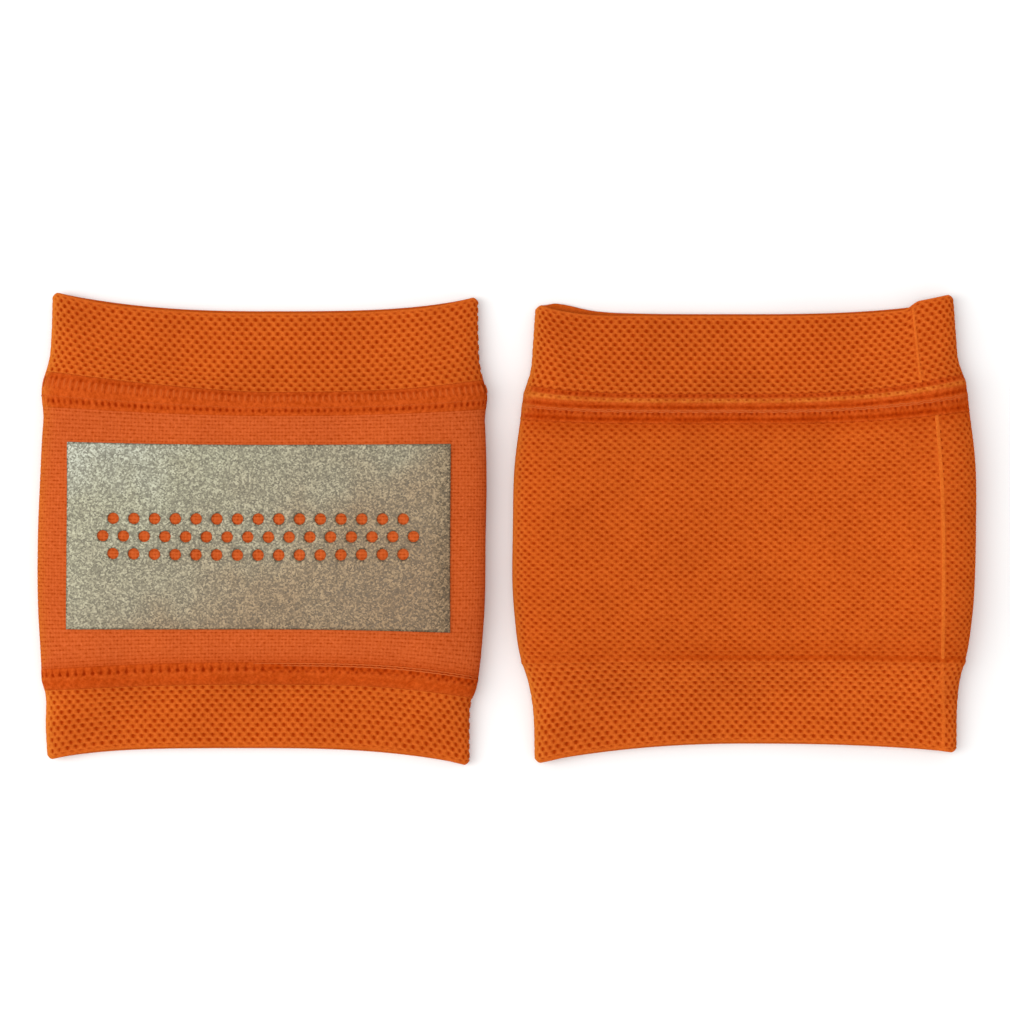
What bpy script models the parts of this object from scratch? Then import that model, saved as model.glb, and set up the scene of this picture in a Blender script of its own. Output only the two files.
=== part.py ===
"""A pair of pull-on knee pads: two knit sleeves with a padded woven front, lying flat side by side.

The left pad lies on its back with its front up, and the right pad is the same article turned over.
Blender 4.5, metres, +Z up, +Y towards the thigh end. The origin is on the surface that the pads lie on,
below the middle of the pair's outline.

One pad is drawn in its own coordinates, and then placed:
    across  from the middle of the pad, positive on the wearer's left when it is worn
    along   from the middle of the pad, positive towards the thigh
    raised  from the plane of the side folds, positive towards the front
"""

import math

import bpy
import bmesh

# The pair
PAD_SPACING = 0.1443  # between the middles of the two pads
BODY_HALF_WIDTH = {"left": 0.0670, "right": 0.0690}  # each knit relaxed a little differently
BODY_SQUARENESS = {"left": 7.0, "right": 3.5}  # how suddenly the cuff widens to the body

# One pad, lying flat
HALF_LENGTH = 0.0655  # along the middle
FLARE = 0.07  # share by which it is longer along its sides than along its middle
CUFF_HALF_WIDTH = 0.0634
BODY_MIDDLE = -0.003  # where along the pad it is widest
BODY_REACH_UP = 0.054  # from there to where the upper cuff has its own width
BODY_REACH_DOWN = 0.048
BODY_HALF_HEIGHT = 0.0068  # from the side folds to the outside of the front, and of the back
CUFF_HALF_HEIGHT = {"left": 0.0055, "right": 0.0065}
FLAT_FOLD = 0.008  # how far in from the side the lower surface curves up
DOMED_FOLD = {"left": 0.035, "right": 0.025}  # and how far in the upper surface curves down

# Layers
KNIT = 0.0010
DOUBLE_KNIT = 0.0014
WOVEN = 0.0008
FOAM = 0.0030
FILM = 0.0003
GAP = 0.0003  # kept between neighbours
UNDER_PANEL = WOVEN + GAP  # the panel's outside to the sleeve's outside, beside the foam
UNDER_FOAM = UNDER_PANEL + FOAM + GAP  # and where the foam lies between them

# Seams
TOP_SEAM = 0.0385  # where along the pad the upper cuff is sewn on
TOP_SEAM_WIDTH = 0.0058
TOP_SEAM_THICKNESS = 0.0011
TOP_SEAM_RISE = {"left": 0.0009, "right": 0.0}  # the right one is pressed flat under the pad
SEAM_GAP = 0.0005  # beside a seam, where the edges also slant with the pad's outline
LOW_SEAM = -0.0447
LOW_SEAM_WIDTH = 0.0025
SLEEVE_SEAM_SHARE = 0.852  # how far from the middle to the side fold the sleeve is closed
CUFF_SEAM_SHARE = 0.823
CLOSING_SLOT = math.radians(2.4)  # half the opening between the edges that a closing seam joins
CLOSING_SEAM = math.radians(1.9)  # half the width of the seam in it

# Foam pad and film
FOAM_HALF_WIDTH = 0.049
FOAM_LOW, FOAM_HIGH = -0.038, 0.030
FOAM_CORNER = 5.0  # exponent of its outline: 2 is an ellipse, more is squarer
POCKET_MARGIN = 0.0015  # the pocket holds its full depth this far past the foam's ends
POCKET_HALF_WIDTH = 0.054
POCKET_SIDE_RAMP = 0.007
POCKET_END_RAMP = 0.0035
FILM_HALF_WIDTH = 0.0573
FILM_LOW, FILM_HIGH = -0.0300, 0.0260

# Fineness
TURNS_ROUND = 40
TURNS_FRONT = 20
FOAM_SPOKES = 32
FOAM_RINGS = (0.35, 0.7, 0.9, 1.0)

KNIT_ORANGE = (0.60, 0.095, 0.012)
WOVEN_ORANGE = (0.62, 0.110, 0.020)
THREAD_ORANGE = (0.55, 0.075, 0.008)
FILM_SILVER = (0.36, 0.33, 0.24)
FOAM_GREY = (0.16, 0.16, 0.17)


def clear_scene():
    for obj in list(bpy.data.objects):
        bpy.data.objects.remove(obj, do_unlink=True)


def smooth_step(share):
    share = min(1.0, max(0.0, share))
    return share * share * (3.0 - 2.0 * share)


def fold_rise(across, half_width, reach):
    """Height of a surface as a share of its full height: 1 in the middle, and 0 at the side fold."""
    beyond = max(0.0, abs(across) - (half_width - reach)) / reach
    return math.sqrt(max(0.0, 1.0 - beyond * beyond))


class Pad:
    """The shape of one pad, from which all of its pieces take their places."""

    def __init__(self, side):
        self.side = side
        self.front_up = side == "left"
        self.body_half_width = BODY_HALF_WIDTH[side]
        outline_end = (PAD_SPACING + sum(BODY_HALF_WIDTH.values())) / 2
        to_the_right = -1.0 if self.front_up else 1.0
        self.middle = to_the_right * (outline_end - self.body_half_width)
        self.squareness = BODY_SQUARENESS[side]
        self.cuff_half_height = CUFF_HALF_HEIGHT[side]
        self.front_fold = DOMED_FOLD[side] if self.front_up else FLAT_FOLD
        self.back_fold = FLAT_FOLD if self.front_up else DOMED_FOLD[side]
        # A pad that lies on its front lies on its film.
        self.lift = 0.0 if self.front_up else FILM + GAP

    def fullness(self, along):
        """0 in the cuffs and 1 where the pad is widest."""
        reach = BODY_REACH_UP if along > BODY_MIDDLE else BODY_REACH_DOWN
        return max(0.0, 1.0 - abs((along - BODY_MIDDLE) / reach) ** self.squareness)

    def half_width(self, along):
        return CUFF_HALF_WIDTH + (self.body_half_width - CUFF_HALF_WIDTH) * self.fullness(along)

    def half_height(self, along):
        upper = smooth_step((along - TOP_SEAM) / (HALF_LENGTH - TOP_SEAM))
        lower = smooth_step((LOW_SEAM - along) / (HALF_LENGTH + LOW_SEAM))
        return BODY_HALF_HEIGHT + (self.cuff_half_height - BODY_HALF_HEIGHT) * max(upper, lower)

    def place(self, across, along, raised):
        """A point of the pad, in world coordinates."""
        share = across / self.half_width(along)
        y = along * (1.0 + FLARE * share * share)
        if self.front_up:
            return (self.middle + across, y, self.half_height(along) + raised)
        return (self.middle - across, y, self.half_height(along) - raised + self.lift)

    def outer(self, turn, along, inset=0.0, raised_by=0.0):
        """A point of the pad's outside. turn is 0 at the +across fold, a quarter turn at the front's middle."""
        half_width = self.half_width(along) - inset
        across = half_width * math.cos(turn)
        front = math.sin(turn) >= 0.0
        reach = self.front_fold if front else self.back_fold
        height = self.half_height(along) * fold_rise(across, half_width, reach)
        if front:
            return self.place(across, along, height + raised_by)
        return self.place(across, along, -height)

    def front_point(self, across, along, depth):
        """A point a given depth inside the front, away from the side folds."""
        rise = fold_rise(across, self.half_width(along), self.front_fold)
        return self.place(across, along, self.half_height(along) * rise - depth)

    def pocket(self, across, along):
        """1 where the foam lies between the panel and the sleeve, and 0 where they touch."""
        sideways = smooth_step((POCKET_HALF_WIDTH + POCKET_SIDE_RAMP - abs(across)) / POCKET_SIDE_RAMP)
        top = smooth_step((FOAM_HIGH + POCKET_MARGIN + POCKET_END_RAMP - along) / POCKET_END_RAMP)
        bottom = smooth_step((along - FOAM_LOW + POCKET_MARGIN + POCKET_END_RAMP) / POCKET_END_RAMP)
        return sideways * top * bottom

    def sleeve(self, turn, along):
        """A point of the main sleeve's outside: under the panel and the foam at the front, and outermost
        everywhere else."""
        under = smooth_step((along - SLEEVE_SURFACES) / (SLEEVE_TUCKS_UNDER - SLEEVE_SURFACES))
        half_width = self.half_width(along) - under * UNDER_PANEL
        across = half_width * math.cos(turn)
        if math.sin(turn) < 0.0:
            rise = fold_rise(across, half_width, self.back_fold)
            return self.place(across, along, -self.half_height(along) * rise)
        recess = under * UNDER_PANEL + (UNDER_FOAM - UNDER_PANEL) * self.pocket(across, along)
        recess *= fold_rise(across, half_width, FLAT_FOLD)
        rise = fold_rise(across, half_width, self.front_fold)
        return self.place(across, along, self.half_height(along) * rise - recess)


# Where pieces begin and end along the pad, from the driving dimensions
SEAM_LOW_EDGE = TOP_SEAM - TOP_SEAM_WIDTH / 2
SEAM_HIGH_EDGE = TOP_SEAM + TOP_SEAM_WIDTH / 2
CUFF_LOW_EDGE = SEAM_HIGH_EDGE + SEAM_GAP
BODY_TOP_EDGE = SEAM_LOW_EDGE - SEAM_GAP
LOW_SEAM_TOP = LOW_SEAM + LOW_SEAM_WIDTH / 2
LOW_SEAM_BOTTOM = LOW_SEAM - LOW_SEAM_WIDTH / 2
PANEL_LOW_EDGE = LOW_SEAM_TOP + GAP
SLEEVE_TUCKS_UNDER = LOW_SEAM_BOTTOM - 0.0004
SLEEVE_SURFACES = SLEEVE_TUCKS_UNDER - 0.0016

SLEEVE_SEAM_TURN = math.pi + math.acos(SLEEVE_SEAM_SHARE)
CUFF_SEAM_TURN = math.pi + math.acos(CUFF_SEAM_SHARE)


def steps(low, high, count):
    return [low + (high - low) * i / count for i in range(count + 1)]


def sleeve_stations():
    """Rows along the main sleeve, closer together where its depth changes."""
    cuff = steps(-HALF_LENGTH, SLEEVE_SURFACES, 3)
    pocket_low = FOAM_LOW - POCKET_MARGIN
    pocket_high = FOAM_HIGH + POCKET_MARGIN
    body = steps(pocket_low, pocket_high, 6)
    return cuff + [SLEEVE_TUCKS_UNDER, PANEL_LOW_EDGE] + body + [BODY_TOP_EDGE]


def new_object(name, mesh, material, collection):
    for polygon in mesh.polygons:
        polygon.use_smooth = True
    mesh.set_sharp_from_angle(angle=math.radians(40))
    mesh.materials.append(material)
    obj = bpy.data.objects.new(name, mesh)
    collection.objects.link(obj)
    return obj


def patch(name, rows, material, collection):
    """An open surface through rows of points, with its faces turned to the outside of the pad."""
    shape = bmesh.new()
    grid = [[shape.verts.new(point) for point in row] for row in rows]
    for lower, upper in zip(grid, grid[1:]):
        for i in range(len(lower) - 1):
            shape.faces.new((lower[i], lower[i + 1], upper[i + 1], upper[i]))
    mesh = bpy.data.meshes.new(name)
    shape.to_mesh(mesh)
    shape.free()
    return new_object(name, mesh, material, collection)


def thicken(obj, thickness):
    """Gives an open surface its thickness, inwards."""
    solidify = obj.modifiers.new("thickness", "SOLIDIFY")
    solidify.thickness = thickness
    solidify.offset = -1.0
    solidify.use_even_offset = True


def outward_turns(first, last, count):
    """Turns in falling order, which makes a patch through them face outwards."""
    return steps(last, first, count)


def turned_round(seam_turn):
    """Turns once round the pad, from one edge of a closing seam's slot to the other."""
    return outward_turns(seam_turn + CLOSING_SLOT, seam_turn + 2.0 * math.pi - CLOSING_SLOT, TURNS_ROUND)


def add_main_sleeve(pad, material, collection):
    turns = turned_round(SLEEVE_SEAM_TURN)
    rows = [[pad.sleeve(turn, along) for turn in turns] for along in sleeve_stations()]
    sleeve = patch(pad.side + "_main_sleeve", rows, material, collection)
    thicken(sleeve, KNIT)


def add_upper_cuff(pad, material, collection):
    turns = turned_round(CUFF_SEAM_TURN)
    rows = [[pad.outer(turn, along) for turn in turns] for along in steps(CUFF_LOW_EDGE, HALF_LENGTH, 4)]
    cuff = patch(pad.side + "_upper_cuff", rows, material, collection)
    thicken(cuff, DOUBLE_KNIT)


def add_closing_seam(pad, name, surface, seam_turn, stations, thickness, material, collection):
    """A narrow strip in the slot between the two edges that it joins."""
    turns = outward_turns(seam_turn - CLOSING_SEAM, seam_turn + CLOSING_SEAM, 2)
    rows = [[surface(turn, along) for turn in turns] for along in stations]
    seam = patch(pad.side + name, rows, material, collection)
    thicken(seam, thickness)


def add_front_panel(pad, material, collection):
    turns = outward_turns(0.0, math.pi, TURNS_FRONT)
    stations = steps(PANEL_LOW_EDGE, BODY_TOP_EDGE, 8)
    rows = [[pad.outer(turn, along) for turn in turns] for along in stations]
    panel = patch(pad.side + "_front_panel", rows, material, collection)
    thicken(panel, WOVEN)


def add_front_top_seam(pad, material, collection):
    """The overlocked ridge between the upper cuff and the front panel."""
    turns = outward_turns(0.0, math.pi, TURNS_FRONT)
    rise = TOP_SEAM_RISE[pad.side]
    ridge = ((SEAM_LOW_EDGE, 0.5), (TOP_SEAM, 1.0), (SEAM_HIGH_EDGE, 0.5))
    rows = []
    for along, share in ridge:
        row = []
        for turn in turns:
            raised_by = rise * share * fold_rise(math.cos(turn), 1.0, 0.2)
            row.append(pad.outer(turn, along, raised_by=raised_by))
        rows.append(row)
    seam = patch(pad.side + "_front_top_seam", rows, material, collection)
    thicken(seam, TOP_SEAM_THICKNESS + rise)


def add_back_top_seam(pad, material, collection):
    """The flat seam between the upper cuff and the sleeve across the back."""
    clear_of_front = math.radians(12.0)
    turns = outward_turns(math.pi + clear_of_front, 2.0 * math.pi - clear_of_front, TURNS_FRONT)
    stations = (SEAM_LOW_EDGE, SEAM_HIGH_EDGE)
    rows = [[pad.outer(turn, along) for turn in turns] for along in stations]
    seam = patch(pad.side + "_back_top_seam", rows, material, collection)
    thicken(seam, TOP_SEAM_THICKNESS)


def add_front_low_seam(pad, material, collection):
    """The stitched edge of the front panel above the lower cuff."""
    turns = outward_turns(0.0, math.pi, TURNS_FRONT)
    stations = (LOW_SEAM_BOTTOM, LOW_SEAM_TOP)
    rows = [[pad.outer(turn, along) for turn in turns] for along in stations]
    seam = patch(pad.side + "_front_low_seam", rows, material, collection)
    thicken(seam, WOVEN)


def add_foam_pad(pad, material, collection):
    """A die-cut sheet of foam with rounded corners, in the pocket behind the front panel."""
    middle = (FOAM_LOW + FOAM_HIGH) / 2
    half_length = (FOAM_HIGH - FOAM_LOW) / 2
    shape = bmesh.new()
    centre = shape.verts.new(pad.front_point(0.0, middle, UNDER_PANEL))
    inner = None
    for ring in FOAM_RINGS:
        verts = []
        for i in range(FOAM_SPOKES):
            angle = 2.0 * math.pi * i / FOAM_SPOKES
            across = signed_power(math.cos(angle), 2.0 / FOAM_CORNER) * FOAM_HALF_WIDTH * ring
            along = middle + signed_power(math.sin(angle), 2.0 / FOAM_CORNER) * half_length * ring
            verts.append(shape.verts.new(pad.front_point(across, along, UNDER_PANEL)))
        for i in range(FOAM_SPOKES):
            j = (i + 1) % FOAM_SPOKES
            if inner is None:
                shape.faces.new((centre, verts[i], verts[j]))
            else:
                shape.faces.new((inner[i], verts[i], verts[j], inner[j]))
        inner = verts
    mesh = bpy.data.meshes.new("foam_pad")
    shape.to_mesh(mesh)
    shape.free()
    foam = new_object(pad.side + "_foam_pad", mesh, material, collection)
    thicken(foam, FOAM)


def signed_power(value, exponent):
    return math.copysign(abs(value) ** exponent, value)


def add_reflective_film(pad, material, collection):
    """A thin printed rectangle on the outside of the front panel."""
    crossings = steps(-FILM_HALF_WIDTH, FILM_HALF_WIDTH, 16)
    depth = -(GAP + FILM)
    rows = []
    for along in steps(FILM_LOW, FILM_HIGH, 6):
        rows.append([pad.front_point(across, along, depth) for across in crossings])
    film = patch(pad.side + "_reflective_film", rows, material, collection)
    thicken(film, FILM)


def make_material(name, colour, roughness, metallic=0.0):
    material = bpy.data.materials.new(name)
    material.use_nodes = True
    shader = material.node_tree.nodes["Principled BSDF"]
    shader.inputs["Base Color"].default_value = (*colour, 1.0)
    shader.inputs["Roughness"].default_value = roughness
    shader.inputs["Metallic"].default_value = metallic
    material.diffuse_color = (*colour, 1.0)
    return material


def make_collection(name):
    collection = bpy.data.collections.new(name)
    bpy.context.scene.collection.children.link(collection)
    return collection


def build_pad(side, collection):
    pad = Pad(side)
    knit = make_material(side + "_mesh_knit", KNIT_ORANGE, 0.85)
    double_knit = make_material(side + "_cuff_knit", KNIT_ORANGE, 0.85)
    woven = make_material(side + "_woven_stretch", WOVEN_ORANGE, 0.75)
    thread = make_material(side + "_seam_thread", THREAD_ORANGE, 0.7)
    film = make_material(side + "_reflective_silver", FILM_SILVER, 0.45, 0.4)
    foam = make_material(side + "_closed_cell_foam", FOAM_GREY, 0.9)

    add_main_sleeve(pad, knit, collection)
    add_closing_seam(
        pad, "_sleeve_closing_seam", pad.sleeve, SLEEVE_SEAM_TURN, sleeve_stations(), KNIT, thread, collection
    )
    add_upper_cuff(pad, double_knit, collection)
    cuff_stations = steps(CUFF_LOW_EDGE, HALF_LENGTH, 4)
    add_closing_seam(
        pad, "_cuff_closing_seam", pad.outer, CUFF_SEAM_TURN, cuff_stations, DOUBLE_KNIT, thread, collection
    )
    add_front_panel(pad, woven, collection)
    add_foam_pad(pad, foam, collection)
    add_reflective_film(pad, film, collection)
    add_front_top_seam(pad, thread, collection)
    add_back_top_seam(pad, thread, collection)
    add_front_low_seam(pad, thread, collection)


def main():
    clear_scene()
    collection = make_collection("knee_pads")
    for side in ("left", "right"):
        build_pad(side, collection)


main()
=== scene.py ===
"""The looks of a pair of pull-on knee pads that lie flat, side by side: the left one front up, the right one
back up.

Every fabric piece is a grid of points laid on the pad's skin. The skin is one smooth surface round each pad,
and a place on it has two coordinates:
    turn    the share of the way round: 0 at the right-hand fold, over the top to 0.5 at the left-hand fold,
            and back underneath
    along   millimetres from the middle of the pad towards the thigh end
"""

import math

import bpy
import numpy as np
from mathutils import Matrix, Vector


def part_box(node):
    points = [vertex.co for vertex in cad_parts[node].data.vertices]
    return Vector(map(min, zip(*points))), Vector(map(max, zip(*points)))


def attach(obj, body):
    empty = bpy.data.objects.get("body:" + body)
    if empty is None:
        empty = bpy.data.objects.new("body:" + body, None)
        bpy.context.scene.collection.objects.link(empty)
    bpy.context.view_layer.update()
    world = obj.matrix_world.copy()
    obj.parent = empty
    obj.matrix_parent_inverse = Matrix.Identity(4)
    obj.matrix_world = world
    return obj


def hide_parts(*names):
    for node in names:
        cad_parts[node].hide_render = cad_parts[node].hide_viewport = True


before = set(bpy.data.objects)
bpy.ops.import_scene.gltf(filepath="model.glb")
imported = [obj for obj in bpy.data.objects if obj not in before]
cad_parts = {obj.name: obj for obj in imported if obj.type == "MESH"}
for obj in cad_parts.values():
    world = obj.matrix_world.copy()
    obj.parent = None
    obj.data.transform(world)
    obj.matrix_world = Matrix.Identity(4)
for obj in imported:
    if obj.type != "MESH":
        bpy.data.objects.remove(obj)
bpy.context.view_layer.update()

MM = 0.001
BLOCK = 8  # a fabric grid is fine or coarse in whole blocks of 8 x 8 steps

# The pads, as they lie. Stations run from the lower mouth to the upper one; all of them are millimetres.
HALF_LENGTH = 65.5
LIFT = {"left": 0.35, "right": 0.6}  # a pad lies on its seams, and the right one on its film too
MIDDLE_LINES = {  # sideways, from the middle of the pad in the frame
    "left": ((-65.5, -1.7), (-57, -1.9), (-33, -0.8), (0, -0.4), (14, 0.0), (40, 0.25), (65.5, 0.4)),
    "right": ((-65.5, 1.3), (-52, 1.1), (-40, 0.5), (-20, 0.4), (0, 0.7), (40, 0.9), (65.5, 0.9)),
}
HALF_WIDTHS = {
    "left": (
        (-65.5, 63.9), (-57, 64.1), (-49, 64.3), (-44, 65.6), (-38, 66.2), (-28, 67.1), (-4, 67.5),
        (26, 66.9), (31.5, 66.6), (36.5, 67.2), (40.5, 66.2), (46, 65.0), (52, 64.6), (65.5, 64.4),
    ),
    "right": (
        (-65.5, 63.8), (-50, 64.3), (-45, 65.1), (-38, 67.3), (-26, 69.0), (2, 69.8), (20, 69.3),
        (31, 67.8), (38, 66.7), (45, 64.6), (52, 64.0), (65.5, 63.2),
    ),
}
HEIGHTS = {  # of the upper surface, in the middle
    "left": (
        (-65.5, 7.4), (-50, 10.0), (-42, 12.2), (-36, 13.2), (0, 13.7), (30, 13.3), (38, 12.4), (46, 10.6),
        (65.5, 7.4),
    ),
    "right": (
        (-65.5, 7.8), (-48, 10.2), (-41, 11.7), (-36.5, 13.1), (0, 13.7), (30, 13.3), (38, 12.2), (46, 10.6),
        (65.5, 7.8),
    ),
}
FOLD_HEIGHTS = ((-65.5, 3.4), (-42, 4.9), (-22, 6.9), (20, 6.9), (40, 4.9), (65.5, 3.4))
UPPER_FOLD = {"left": 19.0, "right": 13.0}  # how far in from the side the upper surface starts to fall
UNDER_FOLD = 8.0
# How far the fabric's rows bend at the left-hand and right-hand fold. A station is along, the left bend and
# its power, the right bend and its power, and the shift of the whole row.
BENDS = {
    "left": (
        (-65.5, -3.4, 3.8, -5.2, 2.6, -1.2), (-47.5, -1.5, 2.5, -3.8, 3.2, 0.0),
        (-40.2, -2.4, 2.2, -4.6, 3.2, 0.0), (-30, 0.0, 2.0, -1.4, 2.0, 0.0), (26, 1.4, 2.0, 0.6, 2.0, 0.0),
        (34.6, 3.2, 1.6, 2.3, 2.6, 0.0), (41, 6.2, 1.4, 3.6, 3.0, 0.0), (48, 5.8, 2.0, 3.8, 3.2, 0.1),
        (65.5, 5.8, 2.4, 4.4, 3.4, 0.3),
    ),
    "right": (
        (-65.5, -5.9, 2.1, -2.6, 2.4, 0.2), (-39, -0.8, 3.0, -0.8, 3.0, 0.0), (0, 0.0, 3.0, 0.0, 3.0, 0.0),
        (32, 1.4, 5.0, 4.0, 2.6, 0.0), (38.5, 2.4, 5.0, 6.0, 2.6, 0.0), (65.5, 2.8, 4.0, 3.9, 2.8, -0.6),
    ),
}
CORNER = 1.6  # how far from the fold a mouth's corner is rounded off
# The cross section on which cloth is measured round a pad
SECTION_HALF_WIDTH = 67.0
SECTION_RISE = 8.6  # of the upper surface above the folds
SECTION_FALL = 5.0  # of the under surface below them
SECTION_ANGLES = np.linspace(0.0, math.pi, 1501)

# Fabrics
EYELETS_ROUND = 100
EYELET_ROW_CUFF = 1.38
EYELET_ROW_BODY = 1.09
EYELET_DEPTH = 0.5
SLEEVE_KNIT = 1.1
CUFF_KNIT = 1.4
WOVEN = 0.8
PANEL_DEPTH = 1.1  # of the sleeve under the panel
FOAM_DEPTH = 3.3  # and the rest of its depth where the foam lies between them
FILM_THICKNESS = 0.2
PAINTED_RIGHT_LIGHT = {"left": 0.0, "right": 0.10}  # how much painted light brightens a pad's fabrics at its right-hand fold, against the shade that falls there

# Places along the pad
PANEL_LOW, PANEL_HIGH = -40.6, 35.2
LOW_BAND = (-47.4, -40.0)
FRONT_BAND = (33.7, 41.2)
BACK_BAND = (31.5, 40.6)
SLEEVE_TOP = 35.4
CUFF_LOW = 40.0
CLOSING = {  # where each tube is closed on the back: along, and millimetres towards the side fold
    "sleeve": ((-66.0, 59.6), (-39.0, 59.4), (10.0, 58.7), (33.0, 56.9)),
    "cuff": ((38.0, 52.6), (66.0, 50.8)),
}
CLOSING_HALF = {"sleeve": 0.6, "cuff": 0.4}  # half of the closing seam's width

# The film and its round openings
FILM_X = (-58.5, 56.4)
FILM_Y = (-30.1, 25.0)
FILM_MIDDLE = ((FILM_X[0] + FILM_X[1]) / 2, (FILM_Y[0] + FILM_Y[1]) / 2)
DOT_RADIUS = 1.75
DOT_PITCH = 6.2
DOT_ROW_PITCH = 5.4

# The cloth simulation. The mass and the stiffnesses are in Blender's units, and the caps in millimetres.
SETTLING_FRAMES = 24
CLOTH_SETTINGS = {
    "quality": 6,
    "mass": 0.05,
    "tension_stiffness": 25.0,
    "compression_stiffness": 25.0,
    "shear_stiffness": 12.0,
    "bending_stiffness": 2.0,
    "vertex_group_mass": "held",
    "pin_stiffness": 1.0,
    "use_pressure": True,
    "uniform_pressure_force": 0.15,
}
MOST_SIDEWAYS, MOST_DOWN, MOST_UP = 0.7, 2.2, 0.9

# The studio, in metres
FLOOR_SIZE = 6.0
WORLD_STRENGTH = 0.77
KEY_PLACE = (-0.50, 0.0, 1.05)
KEY_SIZE = (0.6, 1.8)
KEY_POWER = 11.3
KEY_COLOUR = (1.0, 0.99, 0.97)
SEEN_WIDTH = 0.303  # of the plane SEEN_HEIGHT above the floor
SEEN_HEIGHT = 0.012
SEEN_MIDDLE = (-0.0003, 0.00705)


def smooth(share):
    share = np.clip(share, 0.0, 1.0)
    return share * share * (3.0 - 2.0 * share)


def bell(value, middle, width, power=2):
    """1 at the middle, falling softly to 0 on both sides of it."""
    return np.exp(-(((value - middle) / width) ** power))


def curve(stations, at, column=1):
    """A smooth curve through a few stations."""
    x = np.array([station[0] for station in stations], float)
    y = np.array([station[column] for station in stations], float)
    slope = np.gradient(y, x)
    chord = np.diff(y) / np.diff(x)
    for i in range(1, len(x) - 1):
        if chord[i - 1] * chord[i] <= 0.0:
            slope[i] = 0.0
    at = np.clip(at, x[0], x[-1])
    i = np.clip(np.searchsorted(x, at, side="right") - 1, 0, len(x) - 2)
    step = x[i + 1] - x[i]
    t = (at - x[i]) / step
    a = (1 + 2 * t) * (1 - t) ** 2 * y[i] + t * (1 - t) ** 2 * step * slope[i]
    b = t * t * (3 - 2 * t) * y[i + 1] + t * t * (t - 1) * step * slope[i + 1]
    return a + b


def unit(vectors):
    return vectors / (np.linalg.norm(vectors, axis=-1, keepdims=True) + 1e-9)


def fold_rise(share, reach):
    """1 across most of the width, falling to 0 at the folds as a quarter of an ellipse."""
    beyond = np.maximum(0.0, np.abs(share) - (1.0 - reach)) / reach
    return np.sqrt(np.maximum(0.0, 1.0 - beyond * beyond))


def section_lengths(height, reach):
    """How much cloth lies between the right-hand fold and each angle of the cross section."""
    across = np.cos(SECTION_ANGLES)
    rise = height * fold_rise(across, reach / SECTION_HALF_WIDTH)
    steps = np.hypot(np.diff(SECTION_HALF_WIDTH * across), np.diff(rise))
    return np.concatenate([[0.0], np.cumsum(steps)])


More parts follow.
